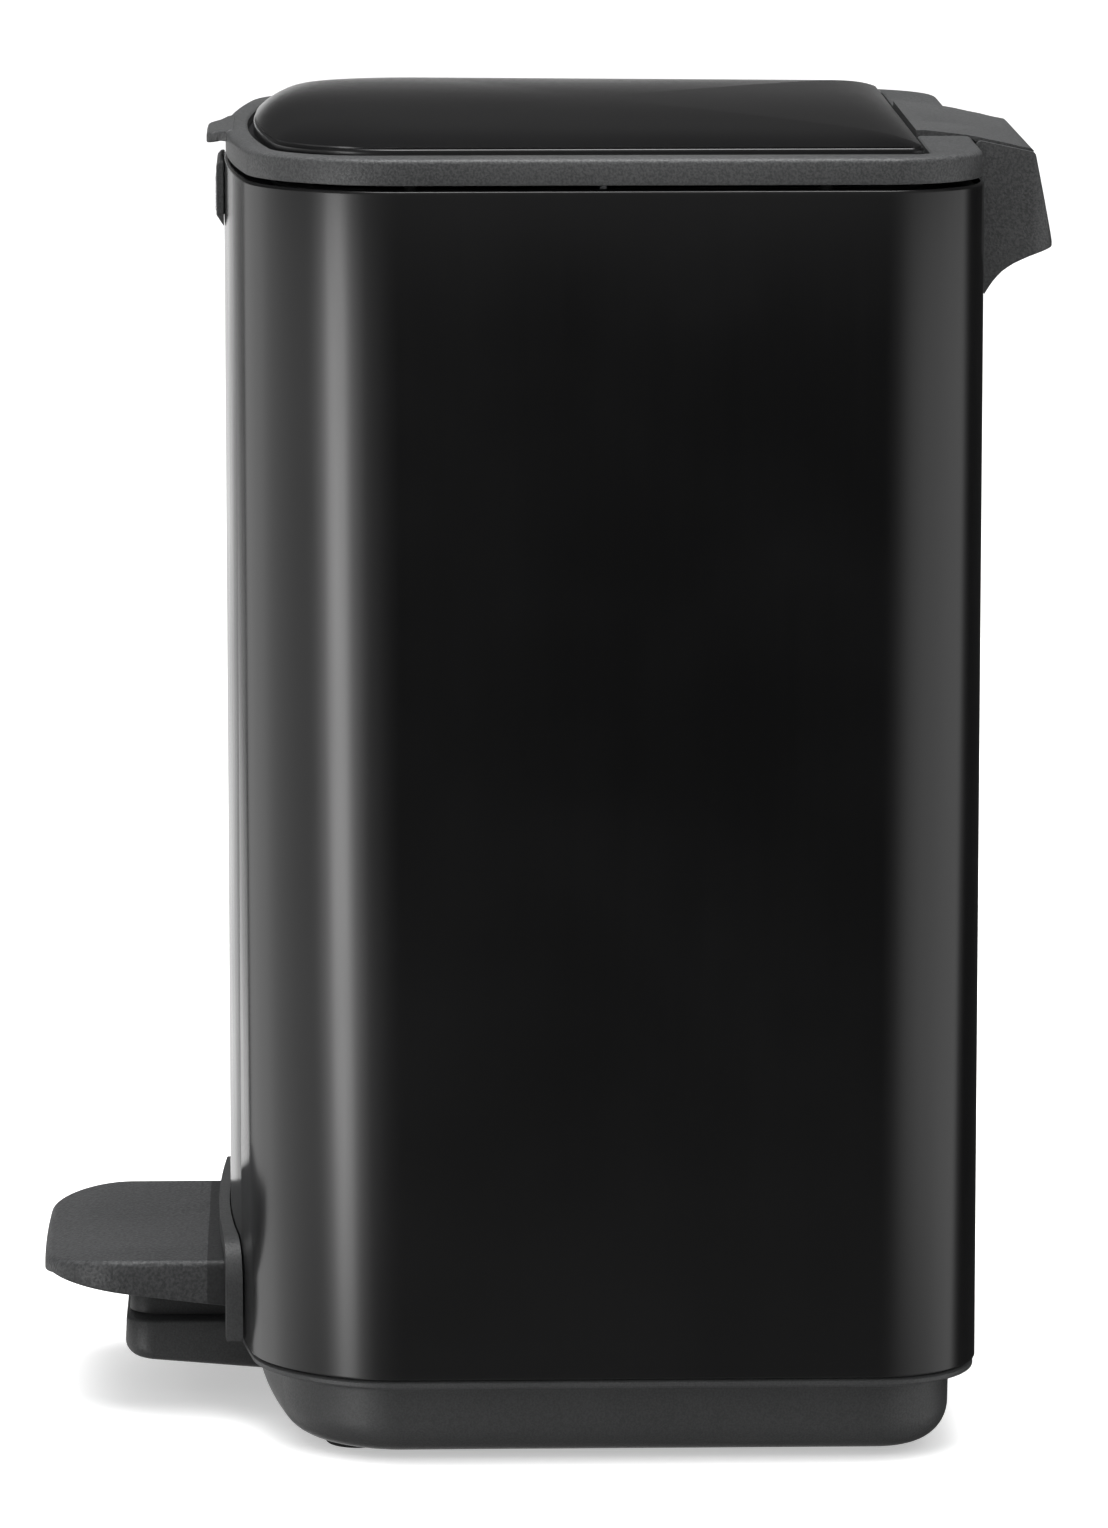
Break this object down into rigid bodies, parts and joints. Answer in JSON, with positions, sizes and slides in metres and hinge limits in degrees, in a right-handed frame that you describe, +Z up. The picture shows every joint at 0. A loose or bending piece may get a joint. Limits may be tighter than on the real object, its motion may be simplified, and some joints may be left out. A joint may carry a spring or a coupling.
{
  "type": "pedal trash can",
  "caption": "Pedal bin: coated steel wrap on a plastic foot tub, rear-hinged lid with steel inlay, front pedal, push rod, lift-out bucket and rear handle.",
  "frame": {"origin": "middle of the bounding box's underside, on the floor", "axes": "+Z up; -Y forward, where the pedal is; +Y to the rear, where the hinge and the handle are; +X along the hinge pin"},
  "size_m": [0.24, 0.3026, 0.3952],
  "materials": {
    "black_coated_steel": "satin black powder coat",
    "grained_grey_plastic": "fine-grained dark grey",
    "dark_inner_plastic": "smooth black, matt",
    "bare_steel": "zinc-plated",
    "black_rubber": "matt",
    "bright_plate": "fine-brushed, blank"
  },
  "bodies": {
    "body": {"body_shell": "black_coated_steel", "base_moulding": "grained_grey_plastic", "pedal_surround": "grained_grey_plastic", "foot_front_left": "black_rubber", "foot_front_right": "black_rubber", "foot_rear_left": "black_rubber", "foot_rear_right": "black_rubber", "top_ring": "dark_inner_plastic", "rear_handle": "grained_grey_plastic", "handle_screw_left": "bare_steel", "handle_screw_right": "bare_steel", "badge_holder": "grained_grey_plastic", "badge_plate": "bright_plate", "hinge_pin": "bare_steel", "inner_bucket": "dark_inner_plastic", "bucket_bail": "bare_steel", "rod_guide_lower": "dark_inner_plastic", "rod_guide_upper": "dark_inner_plastic", "damper_cylinder": "dark_inner_plastic", "pedal_axle": "bare_steel", "axle_bracket_left": "dark_inner_plastic", "axle_bracket_right": "dark_inner_plastic", "bracket_screw_left": "bare_steel", "bracket_screw_right": "bare_steel"},
    "lid": {"lid_frame": "grained_grey_plastic", "lid_panel": "black_coated_steel", "hinge_cover": "grained_grey_plastic", "lid_liner": "dark_inner_plastic", "lid_crank": "bare_steel", "lid_bumper_front_left": "black_rubber", "lid_bumper_front_right": "black_rubber", "lid_bumper_rear_left": "black_rubber", "lid_bumper_rear_right": "black_rubber"},
    "pedal": {"pedal_cover": "grained_grey_plastic", "pedal_lever": "bare_steel", "pedal_screw_left": "bare_steel", "pedal_screw_right": "bare_steel"},
    "rod": {"push_rod": "bare_steel", "damper_plunger": "bare_steel"}
  },
  "joints": [
    {"name": "lid_hinge", "type": "hinge", "parent": "body", "child": "lid", "pos_m": [0, 0.143, 0.3793], "axis": [-1, 0, 0], "range_deg": [0, 80]},
    {"name": "pedal_pivot", "type": "hinge", "parent": "body", "child": "pedal", "pos_m": [0, -0.055, 0.02], "axis": [1, 0, 0], "range_deg": [0, 10]},
    {"name": "rod_slide", "type": "slide", "parent": "body", "child": "rod", "axis": [0, 0, 1], "range_m": [0, 0.0307]}
  ],
  "couplings": [
    {"joint": "pedal_pivot", "follows": "lid_hinge", "ratio": 0.12499},
    {"joint": "rod_slide", "follows": "lid_hinge", "m_per_rad": 0.02198}
  ]
}
